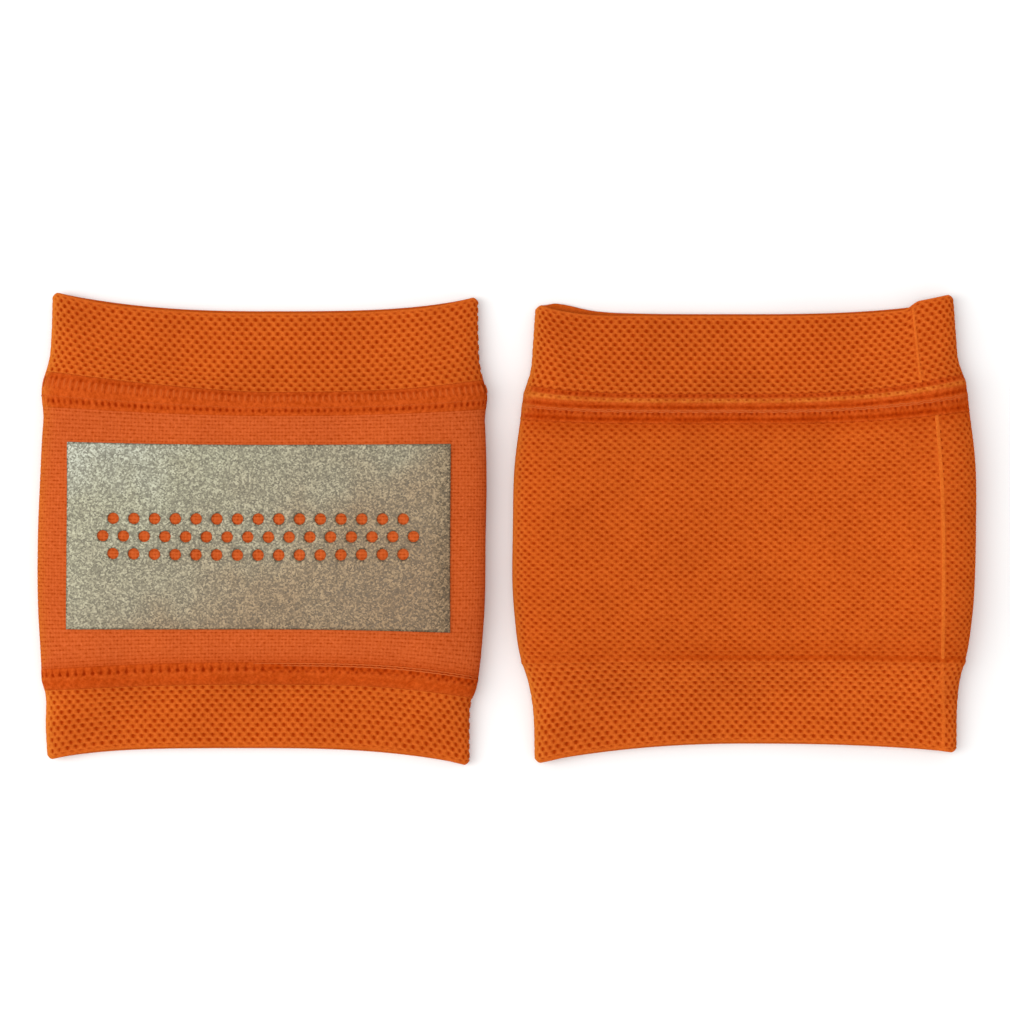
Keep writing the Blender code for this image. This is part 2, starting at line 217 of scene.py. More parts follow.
class Pad:
    """The skin of one pad, in millimetres."""

    def __init__(self, side):
        low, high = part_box(side + "_front_panel")
        self.side = side
        self.front_up = side == "left"
        self.middle = (low.x + high.x) / 2 / MM
        over = section_lengths(SECTION_RISE, UPPER_FOLD[side])
        under = section_lengths(SECTION_FALL, UNDER_FOLD)
        self.width = over[-1]  # from fold to fold, over the top
        self.round = over[-1] + under[-1]
        self.over, self.under = over / over[-1], under / under[-1]
        self.drape = None

    def share_at(self, turn):
        """How far across the pad a turn is: 1 at the right-hand fold and -1 at the left-hand one."""
        turn = np.mod(turn, 1.0)
        over = np.interp(turn * 2.0, self.over, SECTION_ANGLES)
        back = np.interp(turn * 2.0 - 1.0, self.under, SECTION_ANGLES)
        return np.where(turn < 0.5, np.cos(over), -np.cos(back))

    def upper_turn(self, share):
        """The turn of a place on the upper surface."""
        return np.interp(np.arccos(np.clip(share, -1.0, 1.0)), SECTION_ANGLES, self.over) * 0.5

    def bend(self, share, along, upper):
        """How far a row of the fabric bends towards the thigh end."""
        stations = BENDS[self.side]
        left = curve(stations, along, 1) * np.maximum(0.0, -share) ** curve(stations, along, 2)
        right = curve(stations, along, 3) * np.maximum(0.0, share) ** curve(stations, along, 4)
        bend = left + right + curve(stations, along, 5)
        from_fold = (1.0 - np.abs(share)) * HALF_WIDTHS[self.side][0][1]
        rounding = np.maximum(0.0, 1.0 - from_fold / CORNER) ** 2
        mouth = np.maximum(0.0, np.abs(along) / HALF_LENGTH - 0.9) / 0.1
        bend = bend - np.sign(along) * rounding * mouth * CORNER * 0.8
        if self.side == "right":  # the two layers of its upper mouth don't lie edge on edge
            top = smooth((along - 45.0) / 20.0)
            off_fold = smooth((1.0 - np.abs(share)) / 0.10)
            near = 2.1 * smooth((share - 0.76) / 0.08) - 0.5 * smooth((-0.45 - share) / 0.3) * off_fold
            far = 2.1 * smooth((share - 0.86) / 0.14) + 1.4 * bell(share, -0.88, 0.12) * off_fold
            bend = bend + top * np.where(upper, near, far)
        return bend

    def painted_right_light(self, turn):
        """How much painted light brightens the pad's fabrics, more and more towards its right-hand fold,
        where the shade falls.
        """
        return PAINTED_RIGHT_LIGHT[self.side] * smooth((self.share_at(turn) + 0.4) / 1.2)

    def skin(self, turn, along):
        upper = np.mod(turn, 1.0) < 0.5
        share = self.share_at(turn)
        half_width = curve(HALF_WIDTHS[self.side], along)
        height = curve(HEIGHTS[self.side], along)
        fold = curve(FOLD_HEIGHTS, along)
        x = self.middle + curve(MIDDLE_LINES[self.side], along) + share * half_width
        y = along + self.bend(share, along, upper)
        over = fold + (height - fold) * fold_rise(share, UPPER_FOLD[self.side] / half_width)
        over = over + self.ripple(share, along)
        under = fold - fold * fold_rise(share, UNDER_FOLD / half_width)
        z = np.where(upper, over, under) + LIFT[self.side]
        points = np.stack(np.broadcast_arrays(x, y, z), axis=-1)
        if self.drape is not None:
            points = points + self.draped(np.mod(turn, 1.0), along)
        return points

    def draped(self, turn, along):
        """How far the cloth simulation moved a place, from its grid of moves."""
        around, rows = self.drape.shape[:2]
        turn, along = np.broadcast_arrays(turn, along)
        u = turn * around
        v = np.clip((along / HALF_LENGTH + 1.0) / 2.0, 0.0, 1.0) * (rows - 1)
        i = np.floor(u).astype(int)
        j = np.minimum(np.floor(v).astype(int), rows - 2)
        s, t = (u - i)[..., None], (v - j)[..., None]
        i, k = i % around, (i + 1) % around
        near = self.drape[i, j] * (1 - t) + self.drape[i, j + 1] * t
        far = self.drape[k, j] * (1 - t) + self.drape[k, j + 1] * t
        return near * (1 - s) + far * s

    def ripple(self, share, along):
        """The small unevenness of cloth that lies free, mostly in the cuffs."""
        flat = 1.0 - share * share
        free = smooth((np.abs(along) - 34.0) / 28.0)
        phase = 0.0 if self.front_up else 2.1
        wave = np.sin(share * 5.3 + along * 0.055 + phase)
        wave = wave + 0.6 * np.sin(share * 9.1 - along * 0.09 + 2 * phase)
        return flat * wave * (0.12 + 0.45 * free)

    def at(self, turn, along, height=0.0):
        """Points on the skin, or a height above it, with the skin's normals. In millimetres."""
        turn, along, height = np.broadcast_arrays(turn, along, height)
        du, dv = 1e-4, 0.05
        over = self.skin(turn + du, along) - self.skin(turn - du, along)
        up = self.skin(turn, along + dv) - self.skin(turn, along - dv)
        normal = unit(np.cross(up, over))
        return self.skin(turn, along) + normal * height[..., None], normal


# Meshes from grids


def loop_rows(lows, thickness, rolled):
    """Along and height of the rows of a fabric's cross section: up the outside, round its high edge, down the
    inside, and round its low edge. lows are the outside's rows; rolled says which edges are round hems."""
    radius = thickness / 2.0
    outside = lows
    if "low" in rolled:
        outside = np.maximum(outside, outside[0] + radius)
    if "high" in rolled:
        outside = np.minimum(outside, outside[-1] - radius)
    turn = np.arange(1, BLOCK) / BLOCK
    swell = radius * np.sin(math.pi * turn)
    across_high = -radius + radius * np.cos(math.pi * turn) if "high" in rolled else -thickness * turn
    across_low = -radius - radius * np.cos(math.pi * turn) if "low" in rolled else -thickness * (1 - turn)
    beyond_high = outside[-1] + swell * ("high" in rolled)
    beyond_low = outside[0] - swell * ("low" in rolled)
    level = np.zeros(len(outside))
    along = np.concatenate([outside, beyond_high, outside[::-1], beyond_low])
    return along, np.concatenate([level, across_high, level - thickness, across_low])


def loop_grid(turns, lows, thickness, rolled=()):
    """Turn, along and height of each point of a fabric, row by row round its cross section."""
    along, height = loop_rows(lows, thickness, rolled)
    grids = np.broadcast_arrays(turns[None, :], along[:, None], height[:, None])
    return [grid.copy() for grid in grids]


def fine_blocks(turns, lows, row_count, fine_at, rolled=()):
    """Which blocks of a grid are fine: those that fine_at(turn, along) names, and those of round hems."""
    middle_turns, middle_lows = turns[BLOCK // 2::BLOCK], lows[BLOCK // 2::BLOCK]
    outside = len(middle_lows)
    fine = np.zeros((row_count // BLOCK, len(middle_turns)), bool)
    fine[:outside] = fine_at(middle_turns, middle_lows[:, None])
    if "high" in rolled:
        fine[outside] = True
    if "low" in rolled:
        fine[-1] = True
    return fine


def row_places(low, high, spacing):
    """Places from low to high whose spacing follows a function of the place, in a whole number of blocks."""
    fine = np.linspace(low, high, 4001)
    count = np.concatenate([[0.0], np.cumsum(np.diff(fine) / spacing((fine[1:] + fine[:-1]) / 2))])
    blocks = max(1, round(count[-1] / BLOCK))
    return np.interp(np.linspace(0.0, count[-1], blocks * BLOCK + 1), count, fine)


def grid_faces(rows, columns, fine, wrap):
    """Faces of a grid whose rows run round in a loop. A coarse block is one face, which takes in the points
    of a fine neighbour's edge. wrap says that the columns run round too."""
    down, over = fine.shape

    def index(i, j):
        return (i % rows) * columns + (j % columns)

    def is_fine(bi, bj):
        if not wrap and not 0 <= bj < over:
            return False
        return fine[bi % down, bj % over]

    bi, bj = np.nonzero(fine)
    step = np.arange(BLOCK)
    i = bi[:, None, None] * BLOCK + step[:, None]
    j = bj[:, None, None] * BLOCK + step
    quads = np.stack([index(i, j), index(i + 1, j), index(i + 1, j + 1), index(i, j + 1)], axis=-1)
    faces = quads.reshape(-1, 4).tolist()

    def edge(start, end, is_split):
        (i0, j0), (i1, j1) = start, end
        count = BLOCK if is_split else 1
        return [index(i0 + (i1 - i0) * k // count, j0 + (j1 - j0) * k // count) for k in range(count)]

    for bi, bj in zip(*np.nonzero(~fine)):
        bi, bj = int(bi), int(bj)
        i, j = bi * BLOCK, bj * BLOCK
        k, m = i + BLOCK, j + BLOCK
        faces.append(
            edge((i, j), (k, j), is_fine(bi, bj - 1))
            + edge((k, j), (k, m), is_fine(bi + 1, bj))
            + edge((k, m), (i, m), is_fine(bi, bj + 1))
            + edge((i, m), (i, j), is_fine(bi - 1, bj))
        )
    if not wrap:  # walls between the outside and the inside, at the first and the last column
        last = over * BLOCK
        for b in range((down - 2) // 2):
            low, high = b * BLOCK, (b + 1) * BLOCK
            low_inside, high_inside = rows - BLOCK - low, rows - BLOCK - high
            first = edge((high, 0), (low, 0), fine[b, 0])
            faces.append(first + [index(low, 0), index(low_inside, 0), index(high_inside, 0)])
            second = edge((low, last), (high, last), fine[b, -1])
            faces.append(second + [index(high, last), index(high_inside, last), index(low_inside, last)])
    return faces


def new_object(name, points, faces, material, values=None):
    """A smooth mesh object from points in millimetres. values are numbers kept at the points, by name."""
    points = np.asarray(points).reshape(-1, 3)
    used = np.zeros(len(points), bool)
    used[[corner for face in faces for corner in face]] = True
    number = np.cumsum(used) - 1
    faces = [[int(number[corner]) for corner in face] for face in faces]
    mesh = bpy.data.meshes.new(name)
    mesh.from_pydata((points[used] * MM).tolist(), [], faces)
    for key, numbers in (values or {}).items():
        kind, field, size = ("FLOAT_VECTOR", "vector", 3) if numbers.ndim == 3 else ("FLOAT", "value", 1)
        kept = numbers.reshape(-1, size)[used].astype(np.float32)
        mesh.attributes.new(key, kind, "POINT").data.foreach_set(field, kept.ravel())
    mesh.shade_smooth()
    mesh.materials.append(material)
    obj = bpy.data.objects.new(name, mesh)
    bpy.context.scene.collection.objects.link(obj)
    return obj


def fabric(name, pad, turn, along, height, relief, tint_and_painted_light, fine, wrap, material, depth):
    """A fabric from its grid: relief is 0 on its threads and 1 in its openings, which lie depth below its
    surface. tint_and_painted_light is 1 toward the bright colour, which stands for painted highlights and
    lighter marks, and -1 toward the darker colour, which stands for painted shade and darker marks."""
    points, _ = pad.at(turn, along, height - np.minimum(relief, 1.0) * depth)
    faces = grid_faces(*turn.shape, fine, wrap)
    cloth = np.stack([turn * pad.round, along, height], axis=-1) * MM
    # The kept values also carry painted light: painted highlights and painted shade, and the painted
    # brightening towards the right-hand fold.
    kept = {"relief": relief, "tint_and_painted_light": tint_and_painted_light, "cloth": cloth, "painted_right_light": pad.painted_right_light(turn)}
    return new_object(name, points, faces, material, kept)


def eyelets(rows, columns, seed, wedge):
    """The staggered eyelets of a knit: the relief of each point of its grid, and its shift in grid steps. An
    eyelet takes 4 rows and 4 columns of points. wedge draws in its low end, and makes it less even."""
    i, j = np.meshgrid(rows, columns, indexing="ij")
    from_row = np.mod(i, 4) - 2
    hole_row = i // 4
    first = 2 * np.mod(hole_row, 2)
    from_hole = np.mod(j - first + 2, 4) - 2
    hole = np.mod((j - first + 2) // 4, columns.size // 4)
    level, beside = from_row == 0, np.abs(from_hole) == 1
    near_row = np.abs(from_row) == 1
    centre = level & (from_hole == 0)
    side = level & beside
    tip = near_row & (from_hole == 0)
    corner = near_row & beside
    relief = 1.12 * centre + (0.54 + 0.02 * wedge) * side + 0.70 * tip + (0.52 + 0.02 * wedge) * corner
    pinch = np.where(from_row > 0, 0.46 - 0.08 * wedge, 0.50 + 0.10 * wedge)
    across = -from_hole * (0.20 * side + pinch * corner)
    along = from_row * (0.50 * tip + 0.10 * corner)
    rng = np.random.default_rng(seed)
    shape = (int(hole_row.max()) + 1, columns.size // 4 + 1)
    size = 1.0 + (0.20 + 0.12 * wedge) * (rng.random(shape) - 0.5)
    nudge = (rng.random(shape + (2,)) - 0.5) * (0.20 + 0.15 * wedge)
    nudge = nudge[hole_row, hole] * (centre | side | tip | corner)[..., None]
    return relief * size[hole_row, hole], across + nudge[..., 0], along + nudge[..., 1]


def eyelet_spacing(along):
    """A quarter of the distance between rows of eyelets."""
    body = smooth((along + 46.0) / 8.0)
    return (EYELET_ROW_CUFF + (EYELET_ROW_BODY - EYELET_ROW_CUFF) * body) / 4.0


def knit_tube(name, pad, lows, thickness, rolled, holes, fine_at, depth_of, tint_and_painted_light_of, wedge=0.0):
    """A knit tube round the pad. These are functions of turn and along: holes is how open its eyelets are,
    fine_at where its mesh is fine, depth_of how far it lies below the skin, and tint_and_painted_light_of how
    its colour leans to bright and dark, with painted highlights and painted shade."""
    columns = np.arange(EYELETS_ROUND * 4)
    turns = columns / columns.size
    count = len(lows)
    turn, along, height = loop_grid(turns, lows, thickness, rolled)
    pits, shift_across, shift_along = eyelets(np.arange(count), columns, 7 + count, wedge)
    open_share = holes(turn[:count], along[:count])
    relief = np.zeros(turn.shape)
    relief[:count] = pits * open_share
    open_share = np.minimum(open_share, 1.0)
    turn[:count] += shift_across * open_share / columns.size
    along[:count] += shift_along * open_share * np.gradient(lows)[:, None]
    height -= depth_of(turn, along)
    tint_and_painted_light = tint_and_painted_light_of(turn, along)
    fine = fine_blocks(turns, lows, len(along), fine_at, rolled)
    return fabric(name, pad, turn, along, height, relief, tint_and_painted_light, fine, True, MATERIALS["knit"], EYELET_DEPTH)


def strip(name, pad, turns, lows, thickness, surface, fine_at, material, depth, middle=None):
    """A fabric that goes part of the way round. surface(turn, along) gives its height above the skin, its
    relief, and how its colour leans to bright and dark, with painted highlights and painted shade.
    middle(along) is added to the turns."""
    count = len(lows)
    turn, along, height = loop_grid(turns, lows, thickness)
    relief, tint_and_painted_light = np.zeros(turn.shape), np.zeros(turn.shape)
    raised, pits, tint_and_painted_light[:count] = surface(turn[:count], along[:count])
    relief[:count] = np.clip(pits, 0.0, 1.0)
    if middle is None:
        at_fold = 1.0 - smooth((1.0 - np.abs(pad.share_at(turn[:count]))) / 0.025)
        raised = raised * (1.0 - 0.75 * at_fold)
    else:
        turn = turn + middle(along)
    height[:count] += raised
    tint_and_painted_light[count:] = tint_and_painted_light[count - 1]
    tint_and_painted_light[1 - BLOCK:] = tint_and_painted_light[0]
    fine = fine_blocks(turns, lows, len(along), fine_at)
    return fabric(name, pad, turn, along, height, relief, tint_and_painted_light, fine, False, material, depth)


THREAD_SIDES = 6


def tubes(paths, ups, radius_across, radius_up):
    """Round threads along many paths of equally many points, as one set of points and faces."""
    count, length = paths.shape[:2]
    tangent = unit(np.gradient(paths, axis=1))
    beside = unit(np.cross(tangent, ups))
    above = np.cross(beside, tangent)
    ends = np.sin(math.pi * np.linspace(0.02, 0.98, length)) ** 0.35
    ends = np.minimum(1.0, ends * 1.15)[None, :, None, None]
    angle = np.arange(THREAD_SIDES) * 2.0 * math.pi / THREAD_SIDES
    ring = radius_across * np.cos(angle)[:, None] * beside[:, :, None, :]
    ring = ring + radius_up * np.sin(angle)[:, None] * above[:, :, None, :]
    points = paths[:, :, None, :] + ring * ends
    base = (np.arange(count)[:, None] * length + np.arange(length - 1))[..., None] * THREAD_SIDES
    j = np.arange(THREAD_SIDES)
    k = (j + 1) % THREAD_SIDES
    quads = np.stack([base + j, base + k, base + THREAD_SIDES + k, base + THREAD_SIDES + j], axis=-1)
    faces = quads.reshape(-1, 4).tolist()
    for n in range(count):
        start = n * length * THREAD_SIDES
        end = start + (length - 1) * THREAD_SIDES
        faces.append([start + s for s in reversed(range(THREAD_SIDES))])
        faces.append([end + s for s in range(THREAD_SIDES)])
    return points.reshape(-1, 3), faces


# Cloth simulation


def blurred(grid, times):
    """A grid smoothed round the pad, where it is closed, and along it, where it ends."""
    for _ in range(times):
        grid = (np.roll(grid, 1, axis=0) + 2.0 * grid + np.roll(grid, -1, axis=0)) / 4.0
        padded = np.concatenate([grid[:, :1], grid, grid[:, -1:]], axis=1)
        grid = (padded[:, :-2] + 2.0 * grid + padded[:, 2:]) / 4.0
    return grid


def settle(pad):
    """Lets the pad's knit settle on the floor and on the foam, and keeps how far each place moved."""
    around, rows = 72, 41
    places_along = np.linspace(-HALF_LENGTH, HALF_LENGTH, rows)
    turn, along = np.meshgrid(np.arange(around) / around, places_along, indexing="ij")
    before = pad.skin(turn, along)
    faces = []
    for i in range(around):
        here, beside = i * rows, (i + 1) % around * rows
        faces.extend([[here + j, here + j + 1, beside + j + 1, beside + j] for j in range(rows - 1)])
    tube = new_object(pad.side + "_settling", before, faces, MATERIALS["knit"])
    share = pad.share_at(turn)
    foam = pocket(share, along) * 0.75
    seams = 0.9 * bell(along, 38.0, 4.0) + 0.6 * bell(along, -43.0, 4.0)
    folds = smooth((np.abs(share) - 0.90) / 0.07)
    held = np.clip(np.maximum(np.maximum(foam, seams), np.maximum(folds, turn > 0.5)), 0.0, 1.0)
    group = tube.vertex_groups.new(name="held")
    for number, weight in enumerate(held.reshape(-1)):
        group.add([number], float(weight), "REPLACE")
    corners = [(-400, -400, 0), (400, -400, 0), (400, 400, 0), (-400, 400, 0)]
    ground = new_object("settling_floor", corners, [[0, 1, 2, 3]], MATERIALS["knit"])
    ground.modifiers.new("collision", "COLLISION")
    ground.collision.thickness_outer = 0.5 * MM
    cloth = tube.modifiers.new("cloth", "CLOTH")
    for key, value in CLOTH_SETTINGS.items():
        setattr(cloth.settings, key, value)
    cloth.collision_settings.distance_min = 1.0 * MM
    cloth.collision_settings.use_self_collision = False
    cloth.point_cache.frame_start = 1
    cloth.point_cache.frame_end = SETTLING_FRAMES
    scene = bpy.context.scene
    for frame_number in range(1, SETTLING_FRAMES + 1):
        scene.frame_set(frame_number)
    settled = tube.evaluated_get(bpy.context.evaluated_depsgraph_get())
    places = np.empty(before.size, dtype=np.float32)
    settled.data.vertices.foreach_get("co", places)
    moved = places.reshape(before.shape) / MM - before
    scene.frame_set(1)
    for obj in (tube, ground):
        mesh = obj.data
        bpy.data.objects.remove(obj)
        bpy.data.meshes.remove(mesh)
    sideways = np.clip(moved[..., :2], -MOST_SIDEWAYS, MOST_SIDEWAYS)
    upwards = np.clip(moved[..., 2:], -MOST_DOWN, MOST_UP)
    free = smooth((1.0 - np.abs(share)) / 0.10) * (turn <= 0.5)
    moved = np.concatenate([sideways, upwards], axis=-1) * free[..., None]
    print("settled", pad.side, "moved up to", round(float(np.abs(moved).max()), 2), "mm")
    fine = blurred(moved, 1).repeat(4, axis=0).repeat(4, axis=1)
    pad.drape = blurred(np.roll(fine, -2, axis=0), 6)


# Materials


class Nodes:
    """Short ways to make and join a material's shader nodes."""

    def __init__(self, material):
        self.tree = material.node_tree
        self.shader = self.tree.nodes["Principled BSDF"]

    def add(self, kind, settings=None, **inputs):
        """A new node. An input's name has _ for its spaces, or is _ and the input's number."""
        node = self.tree.nodes.new(kind)
        for key, value in (settings or {}).items():
            setattr(node, key, value)
        for key, value in inputs.items():
            self.feed(node, int(key[1:]) if key[0] == "_" else key.replace("_", " "), value)
        return node

    def feed(self, node, key, value):
        socket = node.inputs[key]
        if isinstance(value, bpy.types.NodeSocket):
            self.tree.links.new(value, socket)
        else:
            socket.default_value = value

    def attribute(self, name, output="Fac"):
        return self.add("ShaderNodeAttribute", {"attribute_name": name}).outputs[output]

    def place(self):
        return self.add("ShaderNodeTexCoord").outputs["Object"]

    def noise(self, vector, scale, detail=2.0, roughness=0.5):
        node = self.add("ShaderNodeTexNoise", Vector=vector, Scale=scale, Detail=detail, Roughness=roughness)
        return node.outputs["Fac"]

    def cells(self, vector, scale, output):
        return self.add("ShaderNodeTexVoronoi", Vector=vector, Scale=scale).outputs[output]

    def parts(self, vector):
        return self.add("ShaderNodeSeparateXYZ", Vector=vector).outputs

    def scaled(self, vector, factors):
        return self.add("ShaderNodeVectorMath", {"operation": "MULTIPLY"}, _0=vector, _1=factors).outputs[0]

    def maths(self, operation, a, b=0.5, c=0.5):
        return self.add("ShaderNodeMath", {"operation": operation}, _0=a, _1=b, _2=c).outputs[0]

    def ramp(self, value, stops):
        node = self.add("ShaderNodeValToRGB", Fac=value)
        band = node.color_ramp
        while len(band.elements) < len(stops):
            band.elements.new(0.5)
        for element, (place, colour) in zip(band.elements, stops):
            element.position = place
            element.color = (*colour, 1.0)
        return node.outputs["Color"]

    def mix(self, share, a, b, blend="MIX"):
        node = self.add("ShaderNodeMix", {"data_type": "RGBA", "blend_type": blend}, _0=share, _6=a, _7=b)
        return node.outputs[2]

    def times(self, a, b):
        return self.mix(1.0, a, b, "MULTIPLY")

    def bump(self, height, strength, distance):
        node = self.add("ShaderNodeBump", Height=height, Strength=strength, Distance=distance)
        self.feed(self.shader, "Normal", node.outputs["Normal"])


def new_material(name, colour, roughness, metallic=0.0):
    """A material, with its nodes to add to."""
    material = bpy.data.materials.new(name)
    material.use_nodes = True
    material.diffuse_color = (*colour, 1.0)
    nodes = Nodes(material)
    nodes.feed(nodes.shader, "Roughness", roughness)
    nodes.feed(nodes.shader, "Metallic", metallic)
    return material, nodes


# The colours a fabric leans to: the bright one for painted highlights on lit folds and for lighter seam
# parts, the dark one for painted shade in grooves, under seams and inside the mouths, and for darker seam
# marks.
BRIGHT_AND_HIGHLIT = (0.600, 0.162, 0.021)
DEEP_AND_SHADED = (0.410, 0.042, 0.002)


def cloth_material(name, crown, painted_hollow_shade, yarn, uneven=1.0):
    """Dyed synthetic knit or weave: its openings are painted darker and redder, as the shade in them, and
    every yarn has its fibres. yarn is the fibres' scale in millimetres, and uneven how strongly the colour is
    mottled."""
    material, n = new_material(name, crown, 0.86)
    relief, tint_and_painted_light = n.attribute("relief"), n.attribute("tint_and_painted_light")
    cloth = n.attribute("cloth", "Vector")
    # Painted highlights lean the ground to the bright colour and painted shade to the dark one; lighter and
    # darker seam marks use them too.
    ground = n.mix(n.maths("MAXIMUM", tint_and_painted_light, 0.0), (*crown, 1), (*BRIGHT_AND_HIGHLIT, 1))
    ground = n.mix(n.maths("MAXIMUM", n.maths("MULTIPLY", tint_and_painted_light, -1.0), 0.0), ground, (*DEEP_AND_SHADED, 1))
    # Painted shade in the openings and grooves: their colour is darker and redder the more open they are.
    opening = n.ramp(relief, ((0.15, (0.0,) * 3), (0.50, (0.50,) * 3), (0.85, (1.0,) * 3)))
    colour = n.mix(opening, ground, (*painted_hollow_shade, 1))
    fibres = n.noise(n.scaled(cloth, (1.0, 1.6, 1.0)), 1.0 / (yarn * MM), 3.0, 0.6)
    glow = n.mix(0.5, colour, (crown[0] * 1.2, crown[1] * 1.4, 0.01, 1))
    colour = n.mix(n.maths("MULTIPLY", fibres, 0.40), colour, glow)
    colour = n.times(colour, n.ramp(fibres, ((0.25, (0.80, 0.76, 0.74)), (0.75, (1.10, 1.14, 1.16)))))
    patches = n.noise(cloth, 55.0)
    colour = n.times(colour, n.ramp(patches, ((0.3, (0.95, 0.93, 0.92)), (0.7, (1.04, 1.05, 1.05)))))
    mottles = n.noise(cloth, 900.0, 2.0, 0.6)
    dim = [1.0 - uneven * lost for lost in (0.10, 0.16, 0.30)]
    bright = [1.0 + uneven * gained for gained in (0.09, 0.15, 0.30)]
    colour = n.times(colour, n.ramp(mottles, ((0.3, dim), (0.7, bright))))
    # Painted light: the fabric is brightened towards the right-hand fold, where the shade falls.
    colour = n.times(colour, n.maths("ADD", n.attribute("painted_right_light"), 1.0))
    n.feed(n.shader, "Base Color", colour)
    n.feed(n.shader, "Specular IOR Level", 0.0)
    n.bump(fibres, 0.35, 0.25 * MM)
    return material


def film_material(name):
    """Reflective transfer film: fine glass-bead grain over the weave, with painted glints, and a painted
    reflection that is brighter and greener up to the left and browner down to the right.
    """
    material, n = new_material(name, (0.42, 0.39, 0.31), 0.46, 0.30)
    place = n.place()
    bead = n.parts(n.cells(place, 2300.0, "Color"))["X"]
    grain = n.maths("MULTIPLY_ADD", bead, 0.65, n.maths("MULTIPLY", n.noise(place, 1300.0, 3.0, 0.7), 0.35))
    specks = n.noise(n.scaled(place, (1.0, 0.45, 1.0)), 800.0, 2.0, 0.6)
    clouds = n.maths("MULTIPLY", n.noise(place, 60.0), 0.35)
    parts = n.parts(place)
    # A painted reflection: brighter and greener up to the left, browner down to the right.
    rightward = n.maths("MULTIPLY_ADD", parts["X"], 5.5, 0.85)
    fall = n.maths("ADD", n.maths("MULTIPLY_ADD", parts["Y"], -9.0, rightward), clouds)
    painted_reflection = n.ramp(n.maths("MULTIPLY", fall, 0.8), (
        (0.09, (0.262, 0.261, 0.199)), (0.26, (0.221, 0.209, 0.138)), (0.48, (0.206, 0.178, 0.113)),
        (0.62, (0.189, 0.134, 0.073)), (0.83, (0.172, 0.108, 0.053)),
    ))
    # Painted glints: the brightest grains go past white, over random grain.
    light = n.ramp(grain, ((0.20, (0.44, 0.43, 0.41)), (0.50, (0.90,) * 3), (0.80, (1.88, 1.94, 2.06))))
    dark = n.ramp(specks, ((0.30, (0.86, 0.85, 0.82)), (0.50, (1.0,) * 3), (0.70, (1.14, 1.14, 1.15))))
    n.feed(n.shader, "Base Color", n.mix(0.9, n.times(painted_reflection, light), dark, "MULTIPLY"))
    n.feed(n.shader, "Roughness", n.maths("MULTIPLY_ADD", grain, 0.35, 0.28))
    n.bump(grain, 0.5, 0.2 * MM)
    return material


def foam_material(name):
    material, n = new_material(name, (0.05, 0.05, 0.055), 0.9)
    cells = n.cells(n.place(), 2500.0, "Distance")
    n.feed(n.shader, "Base Color", n.ramp(cells, ((0.1, (0.03, 0.03, 0.035)), (0.7, (0.09, 0.09, 0.095)))))
    n.bump(cells, 0.6, 0.3 * MM)
    return material


MATERIALS = {
    "knit": cloth_material("eyelet_knit", (0.566, 0.105, 0.0135), (0.300, 0.018, 0.0), 0.35),
    "woven": cloth_material("woven_stretch", (0.530, 0.094, 0.0220), (0.340, 0.036, 0.003), 0.40),
    "seam": cloth_material("seam_fabric", (0.480, 0.068, 0.0080), (0.250, 0.014, 0.0), 0.30, uneven=1.8),
    "thread": cloth_material("seam_thread", (0.510, 0.084, 0.0150), (0.300, 0.030, 0.001), 0.16),
    "light_thread": cloth_material("topstitch_thread", (0.580, 0.118, 0.0300), (0.400, 0.060, 0.005), 0.16),
    "film": film_material("reflective_film"),
    "foam": foam_material("closed_cell_foam"),
}


# Pieces


def is_up(turn, spare=0.0):
    """Where the fabric faces up, or is a little past a fold."""
    turn = np.mod(turn, 1.0)
    return (turn < 0.5 + spare) | (turn > 1.0 - spare)


def from_left_fold(pad, turn):
    return np.abs(np.mod(turn, 1.0) - 0.5) * pad.round


def past_folds(pad, turn):
    """The eyelets close up where the knit is folded at the pad's left-hand side."""
    return 0.15 + 0.85 * smooth((from_left_fold(pad, turn) - 2.2) / 1.8)


def painted_fold_highlight(pad, turn, reach=5.2):
    """A painted highlight where the fabric turns over the lit fold at the pad's left-hand side."""
    return bell(from_left_fold(pad, turn), 0.0, reach)


def closing_turn(pad, tube, along):
    """The turn at which a tube is closed: on the back, near the right-hand fold as seen with the back up."""
    share = curve(CLOSING[tube], along) / curve(HALF_WIDTHS[pad.side], along)
    if pad.front_up:
        return 1.0 - pad.upper_turn(-share)
    return pad.upper_turn(share)


def beside_seam(pad, turn, tube, along):
    """0 in a tube's closing seam, and 1 beside it."""
    from_seam = np.abs(np.mod(turn, 1.0) - closing_turn(pad, tube, along)) * pad.round
    return smooth((from_seam / CLOSING_HALF[tube] - 0.7) / 0.6)


def pocket(share, along):
    """1 where the foam lies between the panel and the sleeve."""
    sideways = smooth((0.90 - np.abs(share)) / 0.10)
    return sideways * smooth((35.0 - along) / 3.5) * smooth((along + 43.0) / 3.5)


